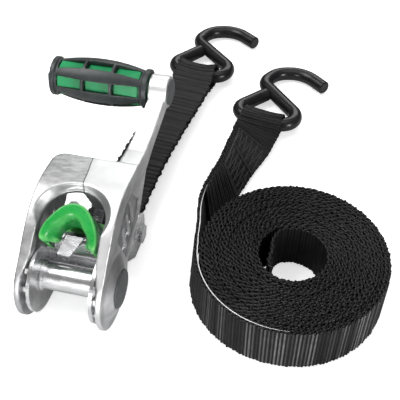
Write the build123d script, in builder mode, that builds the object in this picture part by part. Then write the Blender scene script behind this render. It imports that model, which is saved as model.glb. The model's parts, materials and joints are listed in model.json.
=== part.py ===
from build123d import *
import os
from math import cos, radians, sin

# A ratchet tie down set: ratchet with an off-centre spinning grip, short strap with S-hook,
# long strap rolled into a coil with S-hook.  Millimetres, +Z up.  The origin is the middle of
# the footprint, on the table that everything lies on.

os.makedirs("parts", exist_ok=True)

# ---- driving dimensions: webbing, hook wire and where each thing lies on the table ----
WEBBING_WIDTH = 38.0
WEBBING_THICK = 2.4
WIRE_R = 6.0
LOOP_GAP = 1.2
LOOP_WIDTH = 33.0
AXLE_POINT = (-89.8, -142.4, 29.5)
RATCHET_YAW = -13.3
HANDLE_OPEN = 25.2
COIL_POINT = (59.6, -126.8, 0.0)
COIL_R = 65.7
COIL_HOLE_R = 20.5
WIRE_HEIGHT = WEBBING_THICK + LOOP_GAP + WIRE_R + 0.3
LONG_BAR_POINT = (49.9, 46.1, WIRE_HEIGHT)
LONG_BAR_YAW = -23.6
SHORT_BAR_POINT = (-6.6, 113.25, WIRE_HEIGHT)
SHORT_BAR_YAW = -19.6
HOOK_DIP = -2.6
SHORT_STRAP_SHIFT = 5.0
LEAVE_ANGLE = 172.0
TAIL_LIFT = 0.5
# share of the tail's length and how far the webbing leans there, 90 degrees being on edge
TWIST = ((0.0, 90), (0.25, 82), (0.5, 68), (0.75, 44), (1.0, 0))

# ---- lateral stack of the ratchet, measured from its middle plane ----
PLATE_IN = 20.0
PLATE_OUT = 22.4
WHEEL_IN = 22.7
WHEEL_OUT = 25.3
CHEEK_IN = 25.6
CHEEK_OUT = 29.6
BOSS_OUT = 32.2
RIGHT_BOSS_OUT = 33.8
EAR_IN = 24.4
EAR_OUT = 27.0

# ---- spool and ratchet wheels ----
SPOOL_R = 10.0
RUNNING_GAP = 0.05
BORE_R = SPOOL_R + RUNNING_GAP
SPOOL_SLOT = 4.0
SLOT_TILT = 32.0
SPOOL_END = 30.6
TEETH = 12
WHEEL_TIP_R = 24.0
WHEEL_ROOT_R = 18.6
NOTCH_MIDDLE = 22.0
TOOTH_HALF_ANGLE = 5.0

# ---- base frame ----
FRAME_R = 26.0
ANCHOR_Y = 62.0
ANCHOR_Z = -14.3
EAR_R = 15.0
ANCHOR_BOLT_R = 4.0
SLEEVE_R = 6.0
LOCK_ANGLE = -12.0
PAWL_THICK = 3.0
PAWL_REST_R = WHEEL_TIP_R + 0.4
LOCK_PAWL_LENGTH = 12.0
LOCK_TRAVEL_OUT = 2.0
SPRING_WALL_Y = 43.0

# ---- handle ----
CHEEK_R = 29.3
# front edge of the cheeks in side view, from beside the axle to the far end of the bridge
FRONT_EDGE = ((-8, 28.2), (4, 31.2), (16, 34.6), (28, 37.0), (41, 37.4), (54, 34.4), (68, 27.0), (82, 18.0))
REAR_Z = -17.0
BRIDGE_END = FRONT_EDGE[-1][0]
WEB_THICK = 9.0
ARCH_Y = 31.5
ARCH_R = 21.5
BEVEL_Z = 39.0
PAWL_TRAVEL_IN = 4.0
PAWL_TRAVEL_OUT = 3.0
GRIP_Y = 147.7
BOSS_R = 11.8
BOSS_IN = 20.0
BOSS_FACE = 34.0
SPINDLE_R = 4.0
CAP_R = 13.4
CONE_R = 23.4
RIB_TILT = 70
CORNER_R = 8.0
LUG_X = 6.0
LUG_Y = 52.0
LUG_TOP_Z = 28.0
GROOVE_END = CHEEK_IN + 3.0
SPRING_PIN_R = 1.6

# ---- grip ----
GRIP_INNER_END = 19.2
GRIP_OUTER_END = -54.0
CORE_R = 11.2
CORE_RECESS = 1.2
GRIP_COLLAR_R = 14.4
GRIP_END_R = 12.9
GRIP_BARREL_R = 17.0
WINDOW_ROWS = 6
WINDOW_PHASE = 13.0
WINDOW_LENGTH = 19.4
WINDOW_PITCH = 21.5
WINDOW_WIDTH = 8.0
PAD_LENGTH = 17.2

ratchet_frame = Location(AXLE_POINT, (0, 0, RATCHET_YAW))
handle_frame = ratchet_frame * Location((0, 0, 0), (HANDLE_OPEN, 0, 0))
lock_frame = ratchet_frame * Location((0, 0, 0), (LOCK_ANGLE, 0, 0))
grip_frame = handle_frame * Location((0, GRIP_Y, 0))


def save(builder, label, frame=Location()):
    """Moves a finished piece from its own frame to its place on the table and writes it."""
    piece = frame * builder.part
    piece.label = label
    export_step(piece, f"parts/{label}.step")


def side_plane(x):
    """The plane of a side plate: drawing across is +Y, drawing up is +Z, depth is +X."""
    return Plane.YZ.offset(x)


# ================= base frame =================
with BuildPart() as base_frame:
    # side view: round head, strap anchor ear and the strip between them
    with BuildSketch(side_plane(-EAR_OUT)):
        Circle(FRAME_R)
        with Locations((ANCHOR_Y, ANCHOR_Z)):
            Circle(EAR_R)
        Polygon((0, -FRAME_R), (ANCHOR_Y, ANCHOR_Z - EAR_R), (ANCHOR_Y, -4), (48, -8), (30, 2), (0, 2),
                align=None)
        Circle(BORE_R, mode=Mode.SUBTRACT)
        with Locations((ANCHOR_Y, ANCHOR_Z)):
            Circle(ANCHOR_BOLT_R, mode=Mode.SUBTRACT)
    extrude(amount=2 * EAR_OUT)
    # plan view: both plates step outwards towards the ears, a floor and a wall join them
    with BuildSketch(Plane.XY.offset(-40)):
        with BuildLine():
            Polyline((PLATE_IN, -30), (PLATE_OUT, -30), (PLATE_OUT, 44), (EAR_OUT, 50), (EAR_OUT, 80),
                     (EAR_IN, 80), (EAR_IN, 51), (PLATE_IN, 45), (PLATE_IN, -30))
        make_face()
        mirror(about=Plane.YZ)
    extrude(amount=80, mode=Mode.INTERSECT)
    with BuildSketch(side_plane(-PLATE_IN)):
        Polygon((26, -27.6), (SPRING_WALL_Y + 2, -28.4), (SPRING_WALL_Y + 2, -7.5),
                (SPRING_WALL_Y, -7.5), (SPRING_WALL_Y, -25.9), (26, -25.1), align=None)
    extrude(amount=2 * PLATE_IN)
    # slots that guide the lock pawl
    with BuildSketch(side_plane(-EAR_OUT)):
        slot_r = PAWL_REST_R + LOCK_PAWL_LENGTH / 2 - 1
        slot_point = (slot_r * cos(radians(LOCK_ANGLE)), slot_r * sin(radians(LOCK_ANGLE)))
        with Locations(Location(slot_point, LOCK_ANGLE)):
            Rectangle(LOCK_PAWL_LENGTH + 7, PAWL_THICK + 2 * RUNNING_GAP)
    extrude(amount=2 * EAR_OUT, mode=Mode.SUBTRACT)
save(base_frame, "base_frame", ratchet_frame)

with BuildPart() as lock_pawl:
    with BuildSketch(Plane.XY.offset(-PAWL_THICK / 2)):
        with Locations((0, PAWL_REST_R + LOCK_PAWL_LENGTH / 2)):
            Rectangle(2 * WHEEL_OUT, LOCK_PAWL_LENGTH)
    extrude(amount=PAWL_THICK)
    chamfer(lock_pawl.edges().filter_by(Axis.X).group_by(Axis.Y)[0], 0.9)
save(lock_pawl, "lock_pawl", lock_frame)


def make_spring(length, coil_radius, wire_radius, turns):
    """Compression spring along +Z from the origin, at the length it has with its pawl drawn back."""
    with BuildPart() as spring:
        with BuildLine() as wire_path:
            Helix(pitch=(length - 2 * wire_radius) / turns, height=length - 2 * wire_radius,
                  radius=coil_radius, center=(0, 0, wire_radius))
        with BuildSketch(Plane(origin=wire_path.line @ 0, z_dir=wire_path.line % 0)):
            Circle(wire_radius)
        sweep()
    return spring


LOCK_SPRING_START = PAWL_REST_R + LOCK_PAWL_LENGTH + LOCK_TRAVEL_OUT + 0.3
lock_spring_length = SPRING_WALL_Y / cos(radians(LOCK_ANGLE)) - LOCK_SPRING_START - 1.1
lock_pawl_spring = make_spring(lock_spring_length, 3.0, 0.45, 3)
save(lock_pawl_spring, "lock_pawl_spring", lock_frame * Location((0, LOCK_SPRING_START, 0), (-90, 0, 0)))

# anchor bolt, its nut and the sleeve that the short strap turns on
with BuildPart() as anchor_bolt:
    with BuildSketch(side_plane(-EAR_OUT - 8)):
        Circle(ANCHOR_BOLT_R)
    extrude(amount=2 * EAR_OUT + 8)
    with BuildSketch(side_plane(EAR_OUT)):
        RegularPolygon(6.6, 6, major_radius=False)
    extrude(amount=4)
save(anchor_bolt, "anchor_bolt", ratchet_frame * Location((0, ANCHOR_Y, ANCHOR_Z)))

with BuildPart() as anchor_nut:
    with BuildSketch(side_plane(-EAR_OUT - 6)):
        RegularPolygon(6.6, 6, major_radius=False)
        Circle(ANCHOR_BOLT_R, mode=Mode.SUBTRACT)
    extrude(amount=6)
save(anchor_nut, "anchor_nut", ratchet_frame * Location((0, ANCHOR_Y, ANCHOR_Z)))

with BuildPart() as anchor_sleeve:
    with BuildSketch(side_plane(-EAR_IN)):
        Circle(SLEEVE_R)
        Circle(ANCHOR_BOLT_R, mode=Mode.SUBTRACT)
    extrude(amount=2 * EAR_IN)
save(anchor_sleeve, "anchor_sleeve", ratchet_frame * Location((0, ANCHOR_Y, ANCHOR_Z)))

# ================= spool =================
spool_frame = ratchet_frame * Location((0, 0, 0), (SLOT_TILT, 0, 0))
for side, label in ((1, "spool_bar_upper"), (-1, "spool_bar_lower")):
    with BuildPart() as spool_bar:
        with BuildSketch(side_plane(-SPOOL_END)):
            Circle(SPOOL_R)
            with Locations((0, side * (SPOOL_SLOT / 2 - SPOOL_R))):
                Rectangle(2 * SPOOL_R, 2 * SPOOL_R, mode=Mode.SUBTRACT)
        extrude(amount=2 * SPOOL_END)
    save(spool_bar, label, spool_frame)


def ring_part(inner_x, outer_x, outer_radius):
    """A plain ring on the spool between two distances from the middle plane."""
    with BuildPart() as ring:
        with BuildSketch(side_plane(inner_x)):
            Circle(outer_radius)
            Circle(SPOOL_R, mode=Mode.SUBTRACT)
        extrude(amount=outer_x - inner_x)
    return ring


with BuildPart() as ratchet_wheel:
    with BuildSketch(side_plane(WHEEL_IN)):
        Circle(WHEEL_ROOT_R)
        tip_half = WHEEL_TIP_R * sin(radians(TOOTH_HALF_ANGLE))
        tooth_step = 360 / TEETH
        with PolarLocations(0, TEETH, start_angle=NOTCH_MIDDLE + tooth_step / 2):
            Polygon((WHEEL_ROOT_R - 1, -tip_half - 0.6), (WHEEL_TIP_R, -tip_half),
                    (WHEEL_TIP_R, tip_half - 0.8), (WHEEL_ROOT_R - 1, tip_half + 0.6), align=None)
        Circle(SPOOL_R, mode=Mode.SUBTRACT)
    extrude(amount=WHEEL_OUT - WHEEL_IN)
save(ratchet_wheel, "ratchet_wheel_right", ratchet_frame)
save(ratchet_wheel, "ratchet_wheel_left", ratchet_frame * Location((-WHEEL_IN - WHEEL_OUT, 0, 0)))

save(ring_part(17.2, PLATE_IN - 0.2, 11.6), "spool_collar_right", ratchet_frame)
save(ring_part(0.2 - PLATE_IN, -17.2, 11.6), "spool_collar_left", ratchet_frame)
save(ring_part(CHEEK_OUT + 0.25, CHEEK_OUT + 0.85, 12.4), "retaining_ring_right", ratchet_frame)
save(ring_part(-CHEEK_OUT - 0.85, -CHEEK_OUT - 0.25, 12.4), "retaining_ring_left", ratchet_frame)

# ================= handle =================
with BuildPart() as neck:
    # side view of the right cheek running out into the neck
    with BuildSketch(side_plane(0)) as neck_side:
        Polygon((46, 34), (54, 33), (68, 26), (82, 17), (95, 9.5), (110, 5.5), (GRIP_Y, 6),
                (GRIP_Y, -6.5), (108, -6.5), (88, -6), (76, -11), (60, REAR_Z), (46, REAR_Z), align=None)
        bends = neck_side.vertices().filter_by_position(Axis.X, 50, 140)
        fillet(bends, 6)
    extrude(amount=BOSS_FACE)
    # plan view of the neck, offset towards the right cheek
    with BuildSketch(Plane.XY.offset(-40)):
        Polygon((15, 74), (15.2, 86), (17, 104), (18.8, 122), (BOSS_IN + 0.4, 136), (BOSS_IN + 0.4, GRIP_Y),
                (BOSS_FACE - 0.5, GRIP_Y), (32.8, 134), (30.6, 108), (CHEEK_OUT, 88), (CHEEK_OUT, 60),
                (CHEEK_IN, 60), (CHEEK_IN, 70), align=None)
    extrude(amount=80, mode=Mode.INTERSECT)

with BuildPart() as web:
    # side view of the web that joins the cheeks: it follows their front edge
    back_edge = [(y, z - WEB_THICK) for y, z in FRONT_EDGE]
    with BuildSketch(side_plane(-CHEEK_OUT)):
        with BuildLine():
            Spline(*FRONT_EDGE)
            Spline(*back_edge)
            Line(FRONT_EDGE[0], back_edge[0])
            Line(FRONT_EDGE[-1], back_edge[-1])
        make_face()
    extrude(amount=2 * CHEEK_OUT)
    # plan view: rounded far corners, arch opening that is open towards the axle
    with BuildSketch(Plane.XY.offset(-10)) as web_plan:
        with Locations((0, BRIDGE_END / 2 - 4)):
            Rectangle(2 * CHEEK_OUT, BRIDGE_END + 8)
        far_left = web_plan.vertices().group_by(Axis.Y)[-1].sort_by(Axis.X)[0]
        fillet(far_left, CORNER_R)
        with Locations((0, ARCH_Y)):
            Circle(ARCH_R, mode=Mode.SUBTRACT)
        Polygon((-ARCH_R, ARCH_Y), (ARCH_R, ARCH_Y), (ARCH_R + 0.5, 6), (CHEEK_IN, -10), (-CHEEK_IN, -10),
                (-ARCH_R - 0.5, 6), align=None, mode=Mode.SUBTRACT)
    extrude(amount=60, mode=Mode.INTERSECT)
    # bevelled rim round the arch
    with BuildSketch(Plane.XY.offset(BEVEL_Z)):
        with Locations((0, ARCH_Y + 4)):
            Circle(ARCH_R + 5)
        with Locations((0, ARCH_Y - 20)):
            Rectangle(2 * (ARCH_R + 1.5), 40)
    extrude(amount=-9, taper=38, mode=Mode.SUBTRACT)
    # room for the frame heads and wheels to turn
    with BuildSketch(side_plane(-CHEEK_IN)):
        Circle(FRAME_R + 0.8)
    extrude(amount=2 * CHEEK_IN, mode=Mode.SUBTRACT)

with BuildPart() as handle_casting:
    for x in (-CHEEK_OUT, CHEEK_IN):
        with BuildSketch(side_plane(x)):
            with BuildLine():
                Spline(*FRONT_EDGE)
                Polyline(FRONT_EDGE[-1], (BRIDGE_END, 6), (76, -9), (60, REAR_Z), (-8, REAR_Z), FRONT_EDGE[0])
            make_face()
            Circle(CHEEK_R)
        extrude(amount=CHEEK_OUT - CHEEK_IN)
    add(web.part)
    add(neck.part)
    # rounded far corner on the side away from the neck
    with BuildSketch(Plane.XY.offset(-30)):
        with Locations((-CHEEK_OUT, BRIDGE_END)):
            Rectangle(2 * CORNER_R, 2 * CORNER_R)
        with Locations((CORNER_R - CHEEK_OUT, BRIDGE_END - CORNER_R)):
            Circle(CORNER_R, mode=Mode.SUBTRACT)
    extrude(amount=80, mode=Mode.SUBTRACT)
    # raised cones round the axle caps, with a seat for each cap
    for side, boss_out in ((-1, BOSS_OUT), (1, RIGHT_BOSS_OUT)):
        cheek_face = Plane(origin=(side * CHEEK_OUT, 0, 0), x_dir=(0, 1, 0), z_dir=(side, 0, 0))
        with Locations(cheek_face):
            Cone(CONE_R, CAP_R + 1.4, boss_out - CHEEK_OUT, align=(Align.CENTER, Align.CENTER, Align.MIN))
        with BuildSketch(cheek_face):
            Circle(CAP_R)
        extrude(amount=boss_out - CHEEK_OUT, mode=Mode.SUBTRACT)
    # boss that holds the grip spindle
    with BuildSketch(side_plane(BOSS_IN)):
        with Locations((GRIP_Y, 0)):
            Circle(BOSS_R)
    extrude(amount=BOSS_FACE - BOSS_IN)
    with BuildSketch(side_plane(BOSS_IN)):
        with Locations((GRIP_Y, 0)):
            Circle(SPINDLE_R)
    extrude(amount=BOSS_FACE - BOSS_IN, mode=Mode.SUBTRACT)
    # lug that the drive pawl spring pushes against
    with BuildSketch(Plane.XY.offset(-4)):
        with Locations((LUG_X, LUG_Y + 2.5)):
            Rectangle(10, 5)
    extrude(amount=LUG_TOP_Z + 4)
    # bore for the spool and grooves that guide the drive pawl
    with BuildSketch(side_plane(-CHEEK_OUT)):
        Circle(BORE_R)
    extrude(amount=2 * CHEEK_OUT, mode=Mode.SUBTRACT)
    with BuildSketch(side_plane(-GROOVE_END)):
        with Locations((36, 0)):
            Rectangle(22, PAWL_THICK + 2 * RUNNING_GAP)
    extrude(amount=2 * GROOVE_END, mode=Mode.SUBTRACT)
    with BuildSketch(Plane.XZ.offset(-LUG_Y - 5)):
        with Locations((LUG_X, 0)):
            Circle(SPRING_PIN_R)
    extrude(amount=5, mode=Mode.SUBTRACT)
    # shallow panel with stiffening ribs on the outside of each cheek
    for side in (-1, 1):
        panel_plane = Plane(origin=(side * CHEEK_OUT, 0, 0), x_dir=(0, side, 0), z_dir=(side, 0, 0))
        with BuildSketch(panel_plane):
            Polygon((side * 24, -11), (side * 58, -11), (side * 66, -4), (side * 62, 16), (side * 50, 22),
                    (side * 26, 20), align=None)
            for y in (33, 43, 53):
                with Locations(Location((side * y, 4), side * RIB_TILT)):
                    SlotOverall(22, 3.4, mode=Mode.SUBTRACT)
        extrude(amount=-1.2, mode=Mode.SUBTRACT)
save(handle_casting, "handle_casting", handle_frame)

for side, boss_out, label in ((-1, BOSS_OUT, "axle_cap_left"), (1, RIGHT_BOSS_OUT, "axle_cap_right")):
    with BuildPart() as axle_cap:
        with BuildSketch(Plane(origin=(side * (SPOOL_END + 0.2), 0, 0), x_dir=(0, 1, 0), z_dir=(side, 0, 0))):
            Circle(CAP_R)
        extrude(amount=boss_out - SPOOL_END + 1.1)
        fillet(axle_cap.edges().filter_by(GeomType.CIRCLE).sort_by(Axis.X)[-1 if side > 0 else 0], 1.1)
    save(axle_cap, label, handle_frame)

# ================= drive pawl and release lever =================
PRONG_LENGTH = 6.0
PAWL_BODY_LENGTH = 10.0
PAWL_HALF_WIDTH = GROOVE_END - 0.4
PAWL_BODY_START = PAWL_REST_R + PRONG_LENGTH
SCREW_X = 12.0
SCREW_Y = PAWL_BODY_START + PAWL_BODY_LENGTH / 2

with BuildPart() as drive_pawl:
    with BuildSketch(Plane.XY.offset(-PAWL_THICK / 2)):
        with Locations((0, PAWL_BODY_START + PAWL_BODY_LENGTH / 2)):
            Rectangle(2 * PAWL_HALF_WIDTH, PAWL_BODY_LENGTH)
        for side in (-1, 1):
            with Locations((side * (WHEEL_IN + WHEEL_OUT) / 2, PAWL_REST_R + PRONG_LENGTH / 2)):
                Rectangle(WHEEL_OUT - WHEEL_IN, PRONG_LENGTH)
        with Locations((-SCREW_X, SCREW_Y), (SCREW_X, SCREW_Y)):
            Circle(1.5, mode=Mode.SUBTRACT)
    extrude(amount=PAWL_THICK)
    # folded tab that rises from the pawl through the lever, seen in side view and trimmed in plan
    with BuildPart(mode=Mode.PRIVATE) as tab:
        with BuildSketch(side_plane(-15)):
            Polygon((32, -1.5), (32, 1.5), (30.6, 1.5), (25.5, 17), (12.5, 10.5), (12.5, 8.2), (24, 14),
                    (28.4, 1.5), (28.4, -1.5), align=None)
        extrude(amount=30)
        with BuildSketch(Plane.XY.offset(-5)):
            Polygon((-5, 33), (6, 33), (4.5, 24), (-4, 11), (-12, 13), (-7, 25), align=None)
        extrude(amount=30, mode=Mode.INTERSECT)
    add(tab.part)
save(drive_pawl, "drive_pawl", handle_frame)

LEVER_FOOT_Z = PAWL_THICK / 2
LEVER_BACK_Z = 5.0
LEVER_Y = 22.5
LEVER_START = -26
LEVER_TURN = 226
# section through the lever: distance from its middle line, height
LEVER_SECTION = ((17.0, LEVER_BACK_Z), (18.9, LEVER_BACK_Z), (19.4, 28), (20.4, 34), (19, 36), (15, 35.2),
                 (11, 28), (8.5, 19.5), (10, 18), (13, 26), (17.0, 31))
lever_side = (cos(radians(LEVER_START)), sin(radians(LEVER_START)), 0)
lever_front = (lever_side[1], -lever_side[0], 0)
with BuildPart() as release_lever:
    # saddle with a hollow for the thumb, open towards the spool
    with BuildSketch(Plane(origin=(0, LEVER_Y, 0), x_dir=lever_side, z_dir=lever_front)):
        Polygon(*LEVER_SECTION, align=None)
    revolve(axis=Axis((0, LEVER_Y, 0), (0, 0, 1)), revolution_arc=LEVER_TURN)
    # foot that is screwed on the drive pawl
    with BuildSketch(Plane.XY.offset(LEVER_FOOT_Z)):
        with Locations((0, SCREW_Y)):
            Rectangle(34, PAWL_BODY_LENGTH - 1)
    extrude(amount=LEVER_BACK_Z - LEVER_FOOT_Z + 1)
    with BuildSketch(Plane.XY.offset(LEVER_FOOT_Z)):
        with Locations((-SCREW_X, SCREW_Y), (SCREW_X, SCREW_Y)):
            Circle(1.5)
    extrude(amount=3, mode=Mode.SUBTRACT)
    # room for the round heads of the frame plates when the pawl goes in
    with BuildSketch(side_plane(-CHEEK_IN)):
        with Locations((PAWL_TRAVEL_IN, 0)):
            Circle(FRAME_R + 0.5)
    extrude(amount=CHEEK_IN - PLATE_IN + 0.6, mode=Mode.SUBTRACT)
save(release_lever, "release_lever", handle_frame)

with BuildPart() as lever_screws:
    with BuildSketch(Plane.XY.offset(-PAWL_THICK / 2 - 1.6)):
        with Locations((-SCREW_X, SCREW_Y), (SCREW_X, SCREW_Y)):
            Circle(2.9)
    extrude(amount=1.6)
    with BuildSketch(Plane.XY.offset(-PAWL_THICK / 2)):
        with Locations((-SCREW_X, SCREW_Y), (SCREW_X, SCREW_Y)):
            Circle(1.5)
    extrude(amount=PAWL_THICK + 3)
save(lever_screws, "lever_screws", handle_frame)

drive_spring_start = PAWL_BODY_START + PAWL_BODY_LENGTH + PAWL_TRAVEL_OUT + 0.3
drive_pawl_spring = make_spring(LUG_Y - drive_spring_start - 0.3, 3.2, 0.45, 5)
save(drive_pawl_spring, "drive_pawl_spring",
     handle_frame * Location((LUG_X, drive_spring_start, 0), (-90, 0, 0)))

with BuildPart() as spring_pin:
    with BuildSketch(Plane.XZ.offset(-LUG_Y - 6.5)):
        with Locations((LUG_X, 0)):
            Circle(SPRING_PIN_R)
    extrude(amount=6.5 + LUG_Y - drive_spring_start)
    with BuildSketch(Plane.XZ.offset(-LUG_Y - 6.5)):
        with Locations((LUG_X, 0)):
            Circle(3.2)
    extrude(amount=1.5)
save(spring_pin, "spring_pin", handle_frame)

# ================= grip =================
with BuildPart() as grip_spindle:
    with BuildSketch(side_plane(GRIP_OUTER_END - 3.4)):
        Circle(SPINDLE_R)
    extrude(amount=BOSS_FACE - GRIP_OUTER_END + 3.4)
    with BuildSketch(side_plane(GRIP_OUTER_END - 3.6)):
        Circle(6.2)
    extrude(amount=1.6)
save(grip_spindle, "grip_spindle", grip_frame)

with BuildPart() as grip_bolt_cap:
    with BuildSketch(side_plane(BOSS_FACE)):
        Circle(9.4)
    extrude(amount=1.4)
    fillet(grip_bolt_cap.edges().filter_by(GeomType.CIRCLE).sort_by(Axis.X)[-1], 0.7)
save(grip_bolt_cap, "grip_bolt_cap", grip_frame)

with BuildPart() as grip_end_washer:
    with BuildSketch(side_plane(GRIP_OUTER_END - 1.8)):
        Circle(9.5)
        Circle(SPINDLE_R + RUNNING_GAP, mode=Mode.SUBTRACT)
    extrude(amount=1.5)
save(grip_end_washer, "grip_end_washer", grip_frame)

GRIP_MIDDLE = (GRIP_INNER_END + GRIP_OUTER_END) / 2
with BuildPart() as grip_core:
    with BuildSketch(side_plane(GRIP_OUTER_END)):
        Circle(CORE_R)
        Circle(SPINDLE_R + RUNNING_GAP, mode=Mode.SUBTRACT)
    extrude(amount=GRIP_INNER_END - GRIP_OUTER_END - CORE_RECESS)
    # pads that stand in the windows of the sleeve
    for row in range(WINDOW_ROWS):
        turn = 360 / WINDOW_ROWS * row + WINDOW_PHASE
        pad_plane = Plane(origin=(GRIP_MIDDLE, 0, 0), x_dir=(1, 0, 0),
                          z_dir=(0, cos(radians(turn)), sin(radians(turn)))).offset(CORE_R - 1)
        with BuildSketch(pad_plane):
            with GridLocations(WINDOW_PITCH, 1, 3, 1):
                RectangleRounded(PAD_LENGTH, WINDOW_WIDTH - 0.4, 0.7)
        extrude(amount=2.2)
save(grip_core, "grip_core", grip_frame)

with BuildPart() as grip_sleeve:
    with BuildSketch(Plane.XY):
        with BuildLine():
            a = (GRIP_OUTER_END + 0.1, CORE_R)
            b = (GRIP_OUTER_END + 0.1, GRIP_COLLAR_R)
            c = (GRIP_OUTER_END + 3.4, GRIP_COLLAR_R)
            d = (GRIP_OUTER_END + 4.2, GRIP_END_R)
            e = (GRIP_MIDDLE, GRIP_BARREL_R)
            f = (GRIP_INNER_END - 4.2, GRIP_END_R)
            g = (GRIP_INNER_END - 3.4, GRIP_COLLAR_R)
            h = (GRIP_INNER_END - 0.1, GRIP_COLLAR_R)
            i = (GRIP_INNER_END - 0.1, CORE_R)
            Polyline(a, b, c, d)
            ThreePointArc(d, e, f)
            Polyline(f, g, h, i, a)
        make_face()
    revolve(axis=Axis.X)
    for row in range(WINDOW_ROWS):
        turn = 360 / WINDOW_ROWS * row + WINDOW_PHASE
        window_plane = Plane(origin=(GRIP_MIDDLE, 0, 0), x_dir=(1, 0, 0),
                             z_dir=(0, cos(radians(turn)), sin(radians(turn)))).offset(CORE_R - 2)
        with BuildSketch(window_plane):
            with GridLocations(WINDOW_PITCH, 1, 3, 1):
                RectangleRounded(WINDOW_LENGTH, WINDOW_WIDTH, 0.8)
        extrude(amount=8, mode=Mode.SUBTRACT)
save(grip_sleeve, "grip_sleeve", grip_frame)

# ================= hooks =================
# centreline in the plane of the hook; the strap bar lies along x through the origin
HOOK_EYE_END = (-9.6, 37.0)
HOOK_CORNERS = ((-31, 0, 9.5), (49, 0, 12.5), (-18.2, 52.7, 11.5), (-11.5, 72.5, 22), (11, 83, 26))
HOOK_TIP = (35.8, 68.5)


def make_hook():
    """S-hook of round wire: closed three sided eye for the strap, open mouth with a short tip."""
    corners = [(x, y) for x, y, bend in HOOK_CORNERS]
    path = Polyline(HOOK_EYE_END, *corners, HOOK_TIP)
    for x, y, bend in HOOK_CORNERS:
        corner = path.vertices().sort_by_distance((x, y, 0))[0]
        path = fillet(corner, bend)
    with BuildPart() as hook:
        with BuildSketch(Plane(origin=path @ 0, z_dir=path % 0)):
            Circle(WIRE_R)
        sweep(path=path)
        chamfer(hook.edges().filter_by(GeomType.CIRCLE).sort_by_distance((*HOOK_TIP, 0))[0], 1.0)
    return hook


long_bar_frame = Location(LONG_BAR_POINT, (0, 0, LONG_BAR_YAW))
short_bar_frame = Location(SHORT_BAR_POINT, (0, 0, SHORT_BAR_YAW))
dip = Location((0, 0, 0), (HOOK_DIP, 0, 0))
hook_part = make_hook()
save(hook_part, "long_hook", long_bar_frame * dip)
save(hook_part, "short_hook", short_bar_frame * dip)

# ================= straps =================
WIRE_LOOP_R = WIRE_R + LOOP_GAP
SLEEVE_LOOP_R = SLEEVE_R + LOOP_GAP


def strap_loop(origin, axis, inner_radius, width):
    """Sewn loop of webbing round a bar."""
    with BuildPart() as loop:
        with BuildSketch(Plane(origin=origin, z_dir=axis)):
            Circle(inner_radius + WEBBING_THICK)
            Circle(inner_radius, mode=Mode.SUBTRACT)
        extrude(amount=width / 2, both=True)
    return loop.part


def bar_axis(yaw):
    return Vector(cos(radians(yaw)), sin(radians(yaw)), 0)


def strap_section(middle, across, run):
    """Cross-section of two layers of webbing, square to its run."""
    with BuildSketch(Plane(origin=middle, x_dir=across, z_dir=run)) as section:
        Rectangle(WEBBING_WIDTH, 2 * WEBBING_THICK)
    return section.sketch


# short strap: straight back from the ratchet, then a slight bend towards its hook
anchor_middle = (ratchet_frame * Location((SHORT_STRAP_SHIFT, ANCHOR_Y, ANCHOR_Z))).position
bend_middle = (ratchet_frame * Location((SHORT_STRAP_SHIFT, ANCHOR_Y + 86, ANCHOR_Z - 3))).position
short_bar = Vector(*SHORT_BAR_POINT)
first_run = (bend_middle - anchor_middle).normalized()
second_run = (short_bar - bend_middle).normalized()
ratchet_axis = bar_axis(RATCHET_YAW)
bend_axis = bar_axis((RATCHET_YAW + SHORT_BAR_YAW) / 2)
anchor_loop = strap_loop(anchor_middle, ratchet_axis, SLEEVE_LOOP_R, WEBBING_WIDTH)
short_hook_loop = strap_loop(short_bar, bar_axis(SHORT_BAR_YAW), WIRE_LOOP_R, LOOP_WIDTH)
short_sections = [
    strap_section(anchor_middle + first_run * (SLEEVE_LOOP_R + 1.2), ratchet_axis, first_run),
    strap_section(bend_middle, bend_axis, first_run + second_run),
    strap_section(short_bar - second_run * (WIRE_LOOP_R + 1.2), bar_axis(SHORT_BAR_YAW), second_run),
]
with BuildPart() as short_strap:
    loft(short_sections, ruled=True)
    add(anchor_loop)
    add(short_hook_loop)
save(short_strap, "short_strap")

# long strap: the tail leaves the coil on edge and turns flat towards the hook, upper edge to the left
coil_middle = Vector(*COIL_POINT)
long_bar = Vector(*LONG_BAR_POINT)
leave = bar_axis(LEAVE_ANGLE)
tail_start = coil_middle + leave * (COIL_R - WEBBING_THICK - 0.6)
hook_run = Vector(-bar_axis(LONG_BAR_YAW).Y, bar_axis(LONG_BAR_YAW).X, 0)
tail_end = Vector(long_bar.X, long_bar.Y, 0) - hook_run * (WIRE_LOOP_R + 1.2)
tail_line = Bezier(tail_start, tail_start + Vector(leave.Y, -leave.X, 0) * 45, tail_end - hook_run * 60, tail_end)
tail_sections = []
for share, lean in TWIST:
    run = tail_line % share
    across = Vector(run.Y, -run.X, 0) * cos(radians(lean)) - Vector(0, 0, sin(radians(lean)))
    half_height = WEBBING_WIDTH / 2 * sin(radians(lean)) + WEBBING_THICK * cos(radians(lean)) + TAIL_LIFT
    middle = tail_line @ share + Vector(0, 0, max(half_height, long_bar.Z * share))
    tail_sections.append(strap_section(middle, across, run))
long_hook_loop = strap_loop(long_bar, bar_axis(LONG_BAR_YAW), WIRE_LOOP_R, LOOP_WIDTH)
with BuildPart() as long_strap:
    loft(tail_sections)
    add(long_hook_loop)
    # the coil itself
    with BuildSketch(Plane(origin=COIL_POINT)):
        Circle(COIL_R)
        Circle(COIL_HOLE_R, mode=Mode.SUBTRACT)
    extrude(amount=WEBBING_WIDTH)
save(long_strap, "long_strap")
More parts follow.
